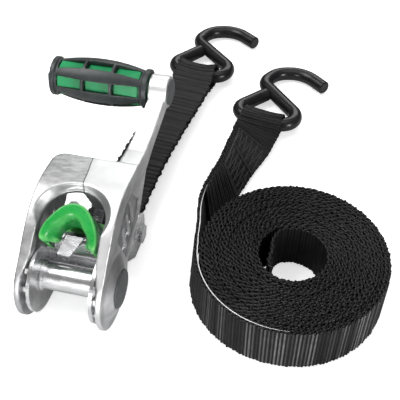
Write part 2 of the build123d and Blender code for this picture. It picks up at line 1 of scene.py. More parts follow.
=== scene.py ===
import json
import math
import bmesh
import bpy
import numpy as np
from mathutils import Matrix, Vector


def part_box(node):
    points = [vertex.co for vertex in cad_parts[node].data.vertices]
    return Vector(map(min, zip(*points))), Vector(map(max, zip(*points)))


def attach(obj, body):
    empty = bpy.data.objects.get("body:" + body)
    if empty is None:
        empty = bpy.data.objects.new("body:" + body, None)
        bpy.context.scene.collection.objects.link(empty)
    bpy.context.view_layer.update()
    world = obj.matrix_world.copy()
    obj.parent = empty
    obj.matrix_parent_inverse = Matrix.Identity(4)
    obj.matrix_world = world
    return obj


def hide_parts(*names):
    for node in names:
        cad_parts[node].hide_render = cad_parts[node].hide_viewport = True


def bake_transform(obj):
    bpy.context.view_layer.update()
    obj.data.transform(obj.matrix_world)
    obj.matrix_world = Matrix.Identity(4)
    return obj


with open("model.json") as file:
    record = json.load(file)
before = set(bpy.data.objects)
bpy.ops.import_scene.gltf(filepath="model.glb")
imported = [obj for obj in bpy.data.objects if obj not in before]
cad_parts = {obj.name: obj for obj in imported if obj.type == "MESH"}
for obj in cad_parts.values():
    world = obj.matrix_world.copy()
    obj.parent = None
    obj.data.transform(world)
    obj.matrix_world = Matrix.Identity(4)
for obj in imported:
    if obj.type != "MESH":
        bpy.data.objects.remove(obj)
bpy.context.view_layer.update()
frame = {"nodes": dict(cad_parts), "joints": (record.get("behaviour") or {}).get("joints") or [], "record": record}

MM = 0.001
UP = Vector((0, 0, 1))
JOINTS = {joint["name"]: joint for joint in frame["joints"]}


# ---------------------------------------------------------------- places taken from the frame
class Axes:
    """A local frame: points go in as millimetres along its own x, y and z."""

    def __init__(self, origin, x, y):
        self.origin = Vector(origin)
        self.x = Vector(x).normalized()
        self.y = (Vector(y) - self.x * Vector(y).dot(self.x)).normalized()
        self.z = self.x.cross(self.y)

    def at(self, x, y, z):
        return self.origin + (self.x * x + self.y * y + self.z * z) * MM


def joint_point(name):
    return Vector(JOINTS[name]["pos_m"])


def joint_axis(name):
    return Vector(JOINTS[name]["axis"]).normalized()


AXLE = joint_point("handle_swing")
ACROSS = joint_axis("handle_swing")
ratchet = Axes(AXLE, ACROSS, UP.cross(ACROSS))
handle = Axes(AXLE, ACROSS, joint_axis("drive_pawl_slide"))
lock = Axes(AXLE, ACROSS, joint_axis("lock_pawl_slide"))
anchor = Axes(joint_point("short_strap_swing"), ACROSS, ratchet.y)
coil_low, coil_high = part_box("long_strap")


# ---------------------------------------------------------------- mesh helpers
def new_mesh_object(name, verts, faces, material, smooth_angle=40):
    mesh = bpy.data.meshes.new(name)
    mesh.from_pydata([tuple(v) for v in verts], [], faces)
    mesh.update()
    mesh.polygons.foreach_set("use_smooth", [True] * len(mesh.polygons))
    mesh.set_sharp_from_angle(angle=math.radians(smooth_angle))
    mesh.materials.append(material)
    obj = bpy.data.objects.new(name, mesh)
    bpy.context.scene.collection.objects.link(obj)
    return obj


def finish_piece(obj, body, slot, *nodes):
    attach(obj, body)
    if nodes:
        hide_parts(*nodes)


def grid_faces(rows, columns):
    """Quads between rows of points; each row goes round once."""
    faces = []
    for i in range(rows - 1):
        for j in range(columns):
            a = i * columns + j
            b = i * columns + (j + 1) % columns
            c = (i + 1) * columns + (j + 1) % columns
            d = (i + 1) * columns + j
            faces.append((a, b, c, d))
    return faces


def tube(name, points, radius, material, sides):
    """Round wire along a list of points, closed at both ends; radius may be a list."""
    points = [Vector(p) for p in points]
    radii = radius if isinstance(radius, (list, tuple)) else [radius] * len(points)
    tangents = []
    for i in range(len(points)):
        before = points[max(i - 1, 0)]
        after = points[min(i + 1, len(points) - 1)]
        tangents.append((after - before).normalized())
    side = tangents[0].orthogonal().normalized()
    verts = []
    for point, tangent, r in zip(points, tangents, radii):
        side = (side - tangent * side.dot(tangent)).normalized()
        other = tangent.cross(side)
        for k in range(sides):
            turn = 2 * math.pi * k / sides
            verts.append(point + (side * math.cos(turn) + other * math.sin(turn)) * r)
    faces = grid_faces(len(points), sides)
    faces.append(tuple(reversed(range(sides))))
    last = (len(points) - 1) * sides
    faces.append(tuple(range(last, last + sides)))
    return new_mesh_object(name, verts, faces, material)


def smoothstep(x):
    x = min(max(x, 0.0), 1.0)
    return x * x * (3 - 2 * x)


def apply_modifiers(obj):
    depsgraph = bpy.context.evaluated_depsgraph_get()
    mesh = bpy.data.meshes.new_from_object(obj.evaluated_get(depsgraph))
    obj.modifiers.clear()
    obj.vertex_groups.clear()
    obj.data = mesh
    return mesh


def softened_copy(name, node, voxel, smoothing, material, crisp=None):
    """A copy of a CAD node with its edges rounded as in a casting or moulding, but not where crisp says."""
    source = frame["nodes"][node]
    obj = bpy.data.objects.new(name, source.data.copy())
    bpy.context.scene.collection.objects.link(obj)
    remesh = obj.modifiers.new("remesh", "REMESH")
    remesh.mode = "VOXEL"
    remesh.voxel_size = voxel * MM
    mesh = apply_modifiers(obj)
    group = obj.vertex_groups.new(name="rounded")
    group.add([v.index for v in mesh.vertices if not (crisp and crisp(v.co))], 1.0, "REPLACE")
    smooth = obj.modifiers.new("smooth", "SMOOTH")
    smooth.factor = 0.5
    smooth.iterations = smoothing
    smooth.vertex_group = "rounded"
    mesh = apply_modifiers(obj)
    mesh.materials.clear()
    mesh.materials.append(material)
    mesh.polygons.foreach_set("use_smooth", [True] * len(mesh.polygons))
    return obj


# ---------------------------------------------------------------- webbing sizes, in millimetres
WEBBING_WIDTH = 38.0
WEBBING_THICK = 2.2
WEB_STEP = 0.55  # distance between sections of the mesh
RIB_PITCH = 2.45
RIB_HEIGHT = 0.6
DOUBLE_RIB = 0.2  # every other rib, roughly, stands this much higher
BUCKLE = 0.15  # uneven waves along the strap
GRAIN_PITCH = 4.6  # slanted yarns over the edges
GRAIN_TURNS = 0.95
GRAIN_DEPTH = 1.15
FLOOR_GAP = 0.02
# painted highlight: the coil's side in front of this place gets painted light bands
COIL_FRONT = -150.0  # in front of this place along y, the coil's side catches the light
COIL_FRONT_FADE = 22
# the section: places across each face, and heights over each edge, both as shares of the half size
FACE_ACROSS = (-0.975, -0.9, -0.5, 0, 0.5, 0.9, 0.975)
EDGE_LEVELS = (0.92, 0.55, 0.18, -0.18, -0.55, -0.92)


# ---------------------------------------------------------------- materials
class Material:
    """A node material that starts as one Principled shader."""

    def __init__(self, name, color, roughness, metallic=0.0):
        self.material = bpy.data.materials.new(name)
        self.material.use_nodes = True
        self.nodes = self.material.node_tree.nodes
        self.links = self.material.node_tree.links
        self.shader = self.nodes["Principled BSDF"]
        self.shader.inputs["Base Color"].default_value = (*color, 1)
        self.shader.inputs["Roughness"].default_value = roughness
        self.shader.inputs["Metallic"].default_value = metallic
        self.bump_chain = None
        self.coords = self.node("ShaderNodeTexCoord").outputs["Object"]

    def node(self, kind, **settings):
        node = self.nodes.new(kind)
        for key, value in settings.items():
            if key.startswith("in_"):
                node.inputs[key[3:].replace("_", " ")].default_value = value
            else:
                setattr(node, key, value)
        return node

    def link(self, output, target):
        self.links.new(output, target)

    def scaled_coords(self, scale):
        mapping = self.node("ShaderNodeMapping")
        mapping.inputs["Scale"].default_value = scale
        self.link(self.coords, mapping.inputs["Vector"])
        return mapping.outputs["Vector"]

    def noise(self, scale, detail, stretch=(1, 1, 1)):
        noise = self.node("ShaderNodeTexNoise", in_Scale=scale, in_Detail=detail, in_Roughness=0.55)
        self.link(self.scaled_coords(stretch), noise.inputs["Vector"])
        return noise.outputs["Fac"]

    def ramp(self, source, stops):
        ramp = self.node("ShaderNodeValToRGB")
        ramp.color_ramp.elements[0].position = stops[0][0]
        ramp.color_ramp.elements[0].color = (*stops[0][1], 1)
        ramp.color_ramp.elements[1].position = stops[-1][0]
        ramp.color_ramp.elements[1].color = (*stops[-1][1], 1)
        for position, color in stops[1:-1]:
            element = ramp.color_ramp.elements.new(position)
            element.color = (*color, 1)
        self.link(source, ramp.inputs["Fac"])
        return ramp.outputs["Color"]

    def spread(self, source, low, high):
        """Maps 0..1 to low..high."""
        spread = self.node("ShaderNodeMapRange")
        spread.inputs["To Min"].default_value = low
        spread.inputs["To Max"].default_value = high
        self.link(source, spread.inputs["Value"])
        return spread.outputs["Result"]

    def math(self, operation, a, b=None):
        node = self.node("ShaderNodeMath", operation=operation)
        for value, socket in ((a, node.inputs[0]), (b, node.inputs[1])):
            if value is None:
                continue
            if isinstance(value, (int, float)):
                socket.default_value = value
            else:
                self.link(value, socket)
        return node.outputs["Value"]

    def local(self, axes):
        """Millimetres along the three axes of a local frame."""
        sockets = []
        for axis in (axes.x, axes.y, axes.z):
            dot = self.node("ShaderNodeVectorMath", operation="DOT_PRODUCT")
            self.link(self.coords, dot.inputs[0])
            dot.inputs[1].default_value = tuple(axis / MM)
            sockets.append(self.math("SUBTRACT", dot.outputs["Value"], axes.origin.dot(axis) / MM))
        return sockets

    def band(self, source, low, high):
        """0 below low, 1 above high; low may be the larger one."""
        band = self.node("ShaderNodeMapRange", interpolation_type="SMOOTHSTEP")
        band.inputs["From Min"].default_value = low
        band.inputs["From Max"].default_value = high
        self.link(source, band.inputs["Value"])
        return band.outputs["Result"]

    def mix(self, share, a, b):
        mix = self.node("ShaderNodeMix", data_type="RGBA")
        self.link(share, mix.inputs["Factor"])
        for value, socket in ((a, mix.inputs["A"]), (b, mix.inputs["B"])):
            if isinstance(value, tuple):
                socket.default_value = (*value, 1)
            else:
                self.link(value, socket)
        return mix.outputs["Result"]

    def color(self, source):
        self.link(source, self.shader.inputs["Base Color"])

    def roughness(self, source):
        self.link(source, self.shader.inputs["Roughness"])

    def bump(self, height, strength, distance):
        bump = self.node("ShaderNodeBump", in_Strength=strength, in_Distance=distance * MM)
        self.link(height, bump.inputs["Height"])
        if self.bump_chain is not None:
            self.link(self.bump_chain, bump.inputs["Normal"])
        self.bump_chain = bump.outputs["Normal"]
        self.link(self.bump_chain, self.shader.inputs["Normal"])


# places on the handle, in millimetres from the axle
SEAM_X = 1.8
SEAM_START = (47, 49)
SEAM_ABOVE = (10, 12)
BRIDGE_START = (40, 58)
CHEEK_X = 27.0
PANEL_X = 28.8


def cast_aluminium():
    """Bright casting: ground right of the parting line, as cast left of it, mottled grey on the cheeks, with
    painted shade in their recessed panels.
    """
    m = Material("cast_aluminium", (0.8, 0.8, 0.81), 0.34, 1.0)
    x, y, z = m.local(handle)
    along_arm = (1, 0.6, 1)
    ground = m.ramp(m.noise(60, 4), [(0.3, (0.74, 0.74, 0.745)), (0.7, (0.86, 0.86, 0.865))])
    # darker grey towards the left of the handle
    left_grey = m.ramp(m.noise(170, 5), [(0.3, (0.42, 0.42, 0.425)), (0.7, (0.68, 0.68, 0.685))])
    smooth = m.mix(m.band(x, 4, -8), ground, left_grey)
    streaks = m.noise(150, 5, stretch=(1.0, 2.6, 0.6))
    rough = m.ramp(streaks, [(0.3, (0.36, 0.36, 0.365)), (0.7, (0.66, 0.66, 0.665))])
    mottling = m.noise(90, 5, stretch=along_arm)
    cheek = m.ramp(mottling, [(0.3, (0.55, 0.55, 0.56)), (0.72, (0.88, 0.88, 0.89))])
    shadowing = m.noise(130, 5, stretch=along_arm)
    painted_panel_shade = m.ramp(shadowing, [(0.3, (0.24, 0.24, 0.25)), (0.7, (0.56, 0.56, 0.57))])
    # the parting line drifts to the left as it goes up the bridge
    first_drift = m.math("MULTIPLY", m.band(y, 50, 62), 2.0)
    drift = m.math("ADD", first_drift, m.math("MULTIPLY", m.band(y, 62, 84), 2.5))
    from_seam = m.math("ADD", x, m.math("SUBTRACT", drift, SEAM_X))
    bridge = m.math("MULTIPLY", m.band(from_seam, 0.4, -0.4), m.band(y, *BRIDGE_START))
    normal = m.node("ShaderNodeVectorMath", operation="DOT_PRODUCT")
    m.link(m.node("ShaderNodeTexCoord").outputs["Normal"], normal.inputs[0])
    normal.inputs[1].default_value = tuple(handle.x)
    sideways = m.band(m.math("ABSOLUTE", normal.outputs["Value"]), 0.6, 0.92)
    outside = m.math("MULTIPLY", sideways, m.band(m.math("ABSOLUTE", x), CHEEK_X, CHEEK_X + 0.8))
    # painted shade: the recessed panel of each cheek is darker, so the raised ribs and rims keep the lighter
    # mottled grey
    cheek = m.mix(m.band(m.math("ABSOLUTE", x), PANEL_X + 0.55, PANEL_X), cheek, painted_panel_shade)
    color = m.mix(bridge, smooth, rough)
    color = m.mix(outside, color, cheek)
    seam = m.math("MULTIPLY", m.band(m.math("ABSOLUTE", from_seam), 0.5, 0.15), m.band(y, *SEAM_START))
    color = m.mix(m.math("MULTIPLY", seam, m.band(z, *SEAM_ABOVE)), color, (0.1, 0.1, 0.1))
    m.color(color)
    m.roughness(m.spread(m.noise(140, 6), 0.36, 0.56))
    m.bump(m.noise(900, 3), 0.2, 0.06)
    m.bump(streaks, 0.3, 0.25)
    m.bump(m.noise(45, 3), 0.25, 1.0)
    return m.material


def bright_plate():
    m = Material("bright_plate", (0.75, 0.75, 0.76), 0.16, 1.0)
    m.color(m.ramp(m.noise(70, 4), [(0.35, (0.72, 0.72, 0.73)), (0.65, (0.96, 0.96, 0.97))]))
    m.roughness(m.spread(m.noise(220, 5, stretch=(1, 1, 4)), 0.16, 0.34))
    m.bump(m.noise(90, 2), 0.2, 0.4)
    return m.material


def spring_steel():
    m = Material("spring_steel", (0.62, 0.62, 0.64), 0.28, 1.0)
    m.color(m.ramp(m.noise(300, 3), [(0.3, (0.5, 0.5, 0.52)), (0.7, (0.72, 0.72, 0.74))]))
    m.roughness(m.spread(m.noise(500, 3), 0.2, 0.4))
    return m.material


def dark_cap():
    m = Material("dark_cap", (0.05, 0.053, 0.055), 0.42)
    m.color(m.ramp(m.noise(80, 4), [(0.3, (0.035, 0.038, 0.04)), (0.7, (0.075, 0.08, 0.082))]))
    m.roughness(m.spread(m.noise(260, 4), 0.34, 0.55))
    m.bump(m.noise(1200, 2), 0.2, 0.05)
    return m.material


def green_lever():
    """Bright green moulding with painted shade deeper in the hollow and painted highlights along the rims; metal
    mirrors little of it.
    """
    m = Material("green_lever", (0.01, 0.5, 0.06), 0.3)
    x, y, z = m.local(handle)
    color = m.ramp(m.noise(60, 3), [(0.3, (0.012, 0.29, 0.045)), (0.7, (0.02, 0.37, 0.065))])
    # painted shade: darker green lower down, in the hollow
    color = m.mix(m.band(z, 31, 17), color, (0.003, 0.16, 0.03))
    pointed = m.node("ShaderNodeNewGeometry").outputs["Pointiness"]
    # painted highlight: paler green along the sharp rims
    color = m.mix(m.math("MULTIPLY", m.band(pointed, 0.505, 0.56), 0.75), color, (0.2, 0.62, 0.18))
    glossy = m.node("ShaderNodeLightPath").outputs["Is Glossy Ray"]
    m.color(m.mix(glossy, color, (0.14, 0.2, 0.16)))
    m.roughness(m.spread(m.noise(180, 4), 0.2, 0.36))
    m.bump(m.noise(700, 2), 0.12, 0.05)
    m.shader.inputs["Subsurface Weight"].default_value = 0.06
    m.shader.inputs["Subsurface Radius"].default_value = (0.001, 0.003, 0.001)
    return m.material


def green_core():
    m = Material("green_core", (0.0, 0.38, 0.11), 0.45)
    m.color(m.ramp(m.noise(90, 3), [(0.3, (0.0, 0.25, 0.075)), (0.7, (0.002, 0.33, 0.105))]))
    m.roughness(m.spread(m.noise(300, 4), 0.35, 0.55))
    m.bump(m.noise(900, 2), 0.15, 0.05)
    return m.material


def grip_rubber():
    m = Material("grip_rubber", (0.04, 0.048, 0.048), 0.5)
    m.color(m.ramp(m.noise(120, 4), [(0.3, (0.016, 0.02, 0.02)), (0.7, (0.034, 0.04, 0.04))]))
    m.roughness(m.spread(m.noise(350, 4), 0.3, 0.5))
    m.bump(m.noise(1500, 3), 0.3, 0.05)
    return m.material


def hook_coating():
    m = Material("hook_coating", (0.012, 0.012, 0.013), 0.33)
    m.color(m.ramp(m.noise(90, 4), [(0.3, (0.005, 0.005, 0.006)), (0.7, (0.012, 0.012, 0.013))]))
    m.roughness(m.spread(m.noise(200, 5), 0.22, 0.36))
    m.shader.inputs["Specular IOR Level"].default_value = 0.36
    m.bump(m.noise(420, 3), 0.2, 0.12)
    return m.material


def webbing_material():
    """Black polyester webbing: painted highlights on the ridges and painted shade in the grooves across, and on
    the slanted yarns over the edges.
    """
    m = Material("black_webbing", (0.008, 0.008, 0.008), 0.5)
    strip = m.node("ShaderNodeUVMap", uv_map="strip")
    parts = m.node("ShaderNodeSeparateXYZ")
    m.link(strip.outputs["UV"], parts.inputs["Vector"])
    along = parts.outputs["X"]
    across = parts.outputs["Y"]

    def sine(source, rate, shift=0.0):
        return m.math("SINE", m.math("ADD", m.math("MULTIPLY", source, rate), shift))

    rib = sine(along, 2 * math.pi / RIB_PITCH)
    past_edge = m.math("SUBTRACT", m.math("ABSOLUTE", across), WEBBING_WIDTH / 2)
    level = m.math("SUBTRACT", m.math("MULTIPLY", past_edge, 2.0), 1.0)
    slow = m.math("MULTIPLY", sine(along, 1 / 9.1), 0.75)
    wander = m.math("ADD", slow, m.math("MULTIPLY", sine(along, 1 / 5.3, 2), 0.54))
    advance = m.math("MULTIPLY", along, 2 * math.pi / GRAIN_PITCH)
    turn = m.math("ADD", advance, m.math("MULTIPLY", level, math.pi * GRAIN_TURNS))
    grain = m.math("SINE", m.math("ADD", turn, wander))
    fuzz = m.noise(1400, 4)
    patches = m.ramp(m.noise(160, 5), [(0.3, (0.55, 0.55, 0.55)), (0.7, (1.0, 1.0, 1.0))])
    # painted light: pale on the ridges, dark in the grooves
    face = m.mix(m.band(rib, -0.7, 0.75), (0.002, 0.002, 0.002), (0.019, 0.018, 0.018))
    # painted light: pale on the slanted yarn crests over the edges, dark between them
    edge = m.mix(m.band(grain, -0.5, 0.9), (0.002, 0.002, 0.002), (0.032, 0.031, 0.031))
    # painted highlight: the front of the coil is painted lighter in broad uneven bands
    place = m.node("ShaderNodeSeparateXYZ")
    m.link(m.coords, place.inputs["Vector"])
    front = m.band(place.outputs["Y"], COIL_FRONT * MM, (COIL_FRONT - COIL_FRONT_FADE) * MM)
    fine = m.math("ADD", sine(along, 1 / 1.7, 1), sine(along, 1 / 11.3, 2))
    broad = m.math("ADD", sine(along, 1 / 3.1), fine)
    shine = m.math("MULTIPLY", m.math("MULTIPLY", front, m.band(broad, -1.2, 1.4)), m.band(rib, -0.6, 0.9))
    face = m.mix(m.math("MULTIPLY", shine, 0.9), face, (0.2, 0.2, 0.205))
    color = m.mix(m.band(past_edge, 0.0, 0.03), face, edge)
    shade = m.node("ShaderNodeMix", data_type="RGBA", blend_type="MULTIPLY")
    shade.inputs["Factor"].default_value = 1.0
    m.link(color, shade.inputs["A"])
    m.link(patches, shade.inputs["B"])
    m.color(shade.outputs["Result"])
    m.roughness(m.spread(fuzz, 0.34, 0.58))
    yarn = sine(across, 2 * math.pi / 1.1)
    m.bump(yarn, 0.25, 0.12)
    m.bump(rib, 0.6, 0.35)
    m.bump(fuzz, 0.3, 0.08)
    m.shader.inputs["Specular IOR Level"].default_value = 0.22
    return m.material


# painted highlight: pale material for the line along the outer wrap's upper edge
def edge_highlight_material():
    m = Material("painted_edge_highlight", (0.8, 0.8, 0.8), 0.5)
    m.color(m.ramp(m.noise(400, 3), [(0.3, (0.62, 0.62, 0.62)), (0.7, (0.9, 0.9, 0.9))]))
    m.bump(m.noise(2500, 2), 0.3, 0.04)
    return m.material


def plain_thread():
    m = Material("sewing_thread", (0.02, 0.02, 0.02), 0.5)
    m.color(m.ramp(m.noise(500, 3), [(0.3, (0.02, 0.02, 0.02)), (0.7, (0.05, 0.05, 0.05))]))
    m.bump(m.noise(2500, 2), 0.4, 0.05)
    return m.material


ALUMINIUM = cast_aluminium()
PLATE = bright_plate()
STEEL = spring_steel()
CAP = dark_cap()
LEVER_GREEN = green_lever()
CORE_GREEN = green_core()
RUBBER = grip_rubber()
COATING = hook_coating()
WEBBING = webbing_material()
THREAD = plain_thread()
EDGE_HIGHLIGHT = edge_highlight_material()

SLOT_MATERIALS = {
    "cast_aluminium": ALUMINIUM,
    "zinc_plate": PLATE,
    "spring_steel": STEEL,
    "dark_cap": CAP,
    "green_plastic": LEVER_GREEN,
    "green_core": CORE_GREEN,
    "grip_rubber": RUBBER,
    "black_webbing": WEBBING,
    "coated_hook": COATING,
}
for subpart in frame["record"]["subparts"]:
    node = frame["nodes"][subpart["node"]]
    material = SLOT_MATERIALS[subpart["material_slot"]]
    if not node.material_slots:
        node.data.materials.append(material)
    for slot in node.material_slots:
        slot.material = material


# ---------------------------------------------------------------- webbing
def unit_rows(vectors):
    return vectors / np.linalg.norm(vectors, axis=1)[:, None]


def webbing(name, centres, acrosses, scallop=0.0):
    """Ribbed strap along centres WEB_STEP apart, in millimetres, with a unit vector across at each."""
    centres = np.array(centres, float)
    acrosses = np.array(acrosses, float)
    runs = unit_rows(np.gradient(centres, axis=0))
    acrosses = unit_rows(acrosses - runs * np.sum(acrosses * runs, axis=1)[:, None])
    faces_up = np.cross(acrosses, runs)
    along = np.arange(len(centres)) * WEB_STEP
    section = [(u, 1.0) for u in FACE_ACROSS] + [(1.0, v) for v in EDGE_LEVELS]
    section += [(u, -1.0) for u in reversed(FACE_ACROSS)] + [(-1.0, -v) for v in EDGE_LEVELS]
    wander = 0.75 * np.sin(along / 9.1) + 0.54 * np.sin(along / 5.3 + 2)
    bulge = 1 + scallop / WEBBING_WIDTH * (np.sin(along / 1.3) + 0.6 * np.sin(along / 2.9))
    # both faces rise and fall together, which makes the edge wavy
    rib = np.sin(2 * np.pi * along / RIB_PITCH)
    wave = RIB_HEIGHT * 0.5 * rib + BUCKLE * (np.sin(along / 1.31) + np.sin(along / 2.17 + 1))
    wave += DOUBLE_RIB * np.sin(2 * np.pi * along / (RIB_PITCH * 1.9))
    rows = []
    for u, v in section:
        if abs(u) == 1.0:
            # yarns cross the edge on a slant, like the lay of a rope
            grain = np.sin(2 * np.pi * (along / GRAIN_PITCH + GRAIN_TURNS * v * 0.5) + wander)
            wide = u * (WEBBING_WIDTH / 2 - 0.15 * v * v + GRAIN_DEPTH * (0.5 * grain - 0.5))
            high = v * WEBBING_THICK / 2 * 1.1 + wave
        else:
            wide = u * WEBBING_WIDTH / 2 * np.ones(len(along))
            high = v * WEBBING_THICK / 2 * (0.9 if abs(u) > 0.95 else 1.0) + wave
        rows.append(centres + acrosses * (wide * bulge)[:, None] + faces_up * high[:, None])
    verts = np.stack(rows, axis=1).reshape(-1, 3) * MM
    verts[:, 2] = np.maximum(verts[:, 2], FLOOR_GAP * MM)
    sides = len(section)
    faces = grid_faces(len(centres), sides)
    faces.append(tuple(range(sides)))
    last = (len(centres) - 1) * sides
    faces.append(tuple(reversed(range(last, last + sides))))
    obj = new_mesh_object(name, verts, faces, WEBBING, 60)
    obj.data.flip_normals()
    uv = obj.data.uv_layers.new(name="strip")
    index = np.zeros(len(obj.data.loops), np.int32)
    obj.data.loops.foreach_get("vertex_index", index)
    past_edge = [0.5 + 0.5 * v if abs(u) == 1.0 else 0 for u, v in section]
    across_mm = np.array([u * (WEBBING_WIDTH / 2 + past) for (u, v), past in zip(section, past_edge)])
    coordinates = np.stack([along[index // sides], across_mm[index % sides]], axis=1)
    uv.data.foreach_set("uv", coordinates.astype(np.float32).ravel())
    return obj


def evenly(points, vectors):
    """Points and vectors taken at every WEB_STEP along the line through the points."""
    points = np.array(points, float)
    vectors = np.array(vectors, float)
    lengths = np.concatenate([[0], np.cumsum(np.linalg.norm(np.diff(points, axis=0), axis=1))])
    places = np.arange(0, lengths[-1], WEB_STEP)
    new_points = np.stack([np.interp(places, lengths, points[:, k]) for k in range(3)], axis=1)
    new_vectors = np.stack([np.interp(places, lengths, vectors[:, k]) for k in range(3)], axis=1)
    return new_points, new_vectors


def bezier(p0, p1, p2, p3, count):
    t = np.linspace(0, 1, count)[:, None]
    return (1 - t) ** 3 * p0 + 3 * (1 - t) ** 2 * t * p1 + 3 * (1 - t) * t ** 2 * p2 + t ** 3 * p3


def catmull_rom(a, b, c, d, t):
    """Point at share t of the way from b to c on the smooth line through a, b, c and d."""
    return 0.5 * (2 * b + (c - a) * t + (2 * a - 5 * b + 4 * c - d) * t ** 2
                  + (3 * b - a - 3 * c + d) * t ** 3)


def through(points, per_span):
    """Smooth line through the points; every column is carried along."""
    points = np.array(points, float)
    padded = np.concatenate([[2 * points[0] - points[1]], points, [2 * points[-1] - points[-2]]])
    rows = []
    for i in range(1, len(padded) - 2):
        rows += [catmull_rom(*padded[i - 1:i + 3], k / per_span) for k in range(per_span)]
    rows.append(points[-1])
    return np.array(rows)


def directions(spine, across):
    """Unit vectors along the spine and square to the strap's face."""
    run = unit_rows(np.gradient(spine, axis=0))
    return run, unit_rows(np.cross(across, run))


def half_turn(centre, run, up, radius, turn):
    """Points round a bar: turn 0 is ahead of it along run, a quarter turn is above it."""
    return centre + np.cos(turn)[:, None] * run * radius + np.sin(turn)[:, None] * up * radius


BAR_POINTS = 24
LAP_FADE = 20


def layered(spine, across, bar_radius, opening, lap):
    """The strap runs under the bar at its spine's end, goes round it and comes back on top for the lap."""
    run, up = directions(spine, across)
    left = np.concatenate([np.cumsum(np.linalg.norm(np.diff(spine, axis=0), axis=1)[::-1])[::-1], [0]])
    touch = WEBBING_THICK / 2 + 0.1
    ease = np.array([smoothstep(1 - d / opening) for d in left])
    apart = np.array([smoothstep((lap + LAP_FADE + 2 - d) / LAP_FADE) for d in left])
    offset = touch * apart + (bar_radius - touch) * ease
    beneath = spine - up * offset[:, None]
    top = spine + up * offset[:, None]
    turn = np.linspace(-math.pi / 2, math.pi / 2, BAR_POINTS)[1:-1]
    nose = half_turn(spine[-1], run[-1], up[-1], bar_radius, turn)
    keep = left < lap
    path = np.concatenate([beneath, nose, top[keep][::-1]])
    vectors = np.concatenate([across, np.repeat(across[-1:], len(nose), axis=0), across[keep][::-1]])
    return path, vectors


WIRE_R = 6.0
LAP = 126
RING_R = 0.0657  # outside of the CAD ring, in metres
COIL_CENTRE = np.array([coil_high.x - RING_R, coil_low.y + RING_R, 0]) / MM
COIL_R = 66.3
COIL_HOLE_R = 21.2
TURN_PITCH = 2.45
FLAP_ANGLE = math.radians(216)  # where the free inner end lies
FLAP_TURN = math.radians(118)
FLAP_PULL = 9.5
LEAVE_ANGLE = math.radians(172)  # where the tail leaves the coil
LOOSE_FROM = math.radians(264)  # the outer wrap stands off from here on
LOOSE_GAP = 2.9
LOOSE_LEAN = math.radians(5.0)
COIL_RAISE = 0.55


def coil_path():
    """Spiral seen from above, wound clockwise from the hole outwards; its last part stands off a little."""
    turns = round((COIL_R - COIL_HOLE_R) / TURN_PITCH) + (FLAP_ANGLE - LEAVE_ANGLE) / (2 * math.pi)
    total = turns * 2 * math.pi
    pitch = (COIL_R - WEBBING_THICK / 2 - COIL_HOLE_R - WEBBING_THICK / 2) / (turns - 0.12)
    points = []
    vectors = []
    count = int(total * (COIL_R + COIL_HOLE_R) / 2 / 0.5)
    for i in range(count + 1):
        wound = total * i / count
        angle = LEAVE_ANGLE + total - wound
        radius = COIL_HOLE_R + WEBBING_THICK / 2 + pitch * wound / (2 * math.pi)
        # the free inner end cuts across the hole like a chord
        flap = max(0.0, 1 - wound / FLAP_TURN)
        radius -= FLAP_PULL * math.sin(math.pi * flap) ** 1.5 * (0.35 + 0.65 * flap) + 2.0 * flap
        settle = min(1.0, wound / 20)
        radius += 0.14 * settle * math.sin(3 * angle + 0.22 * wound) * math.sin(0.31 * wound)
        loose = smoothstep((LOOSE_FROM - angle) / (LOOSE_FROM - LEAVE_ANGLE))
        radius += LOOSE_GAP * loose
        height = WEBBING_WIDTH / 2 + COIL_RAISE
        height += 0.3 * math.sin(wound * 1.7) + 0.25 * math.sin(wound * 0.61 + 1)
        outward = np.array([math.cos(angle), math.sin(angle), 0])
        points.append(COIL_CENTRE + outward * radius + np.array([0, 0, height]))
        lean = LOOSE_LEAN * loose
        vectors.append(outward * math.sin(lean) - np.array([0, 0, math.cos(lean)]))
    return np.array(points), np.array(vectors)


# middle line of the tail between the coil and the hook bar, and how far it leans there from flat
TAIL_LINE = (
    (-6.0, -99, 93), (-3.6, -80, 89), (2.0, -64, 83), (10.0, -49, 75),
    (19.0, -33, 67), (28.0, -11, 58), (36.8, 9, 43),
)
TAIL_SPAN = 30  # points between two stations
LEAN_AT_COIL = 95
LEAN_NEAR_BAR = 11
NEAR_BAR = 16
TAIL_OPENING = 26  # the two layers open over this length before the bar
TAIL_HEIGHT = 1.0


def hook_bar(joint):
    """Middle of a hook's bar in millimetres, the bar's direction, and the level way from strap to hook."""
    axis = np.array(joint_axis(joint))
    return np.array(joint_point(joint)) / MM, axis, np.cross([0, 0, 1], axis)


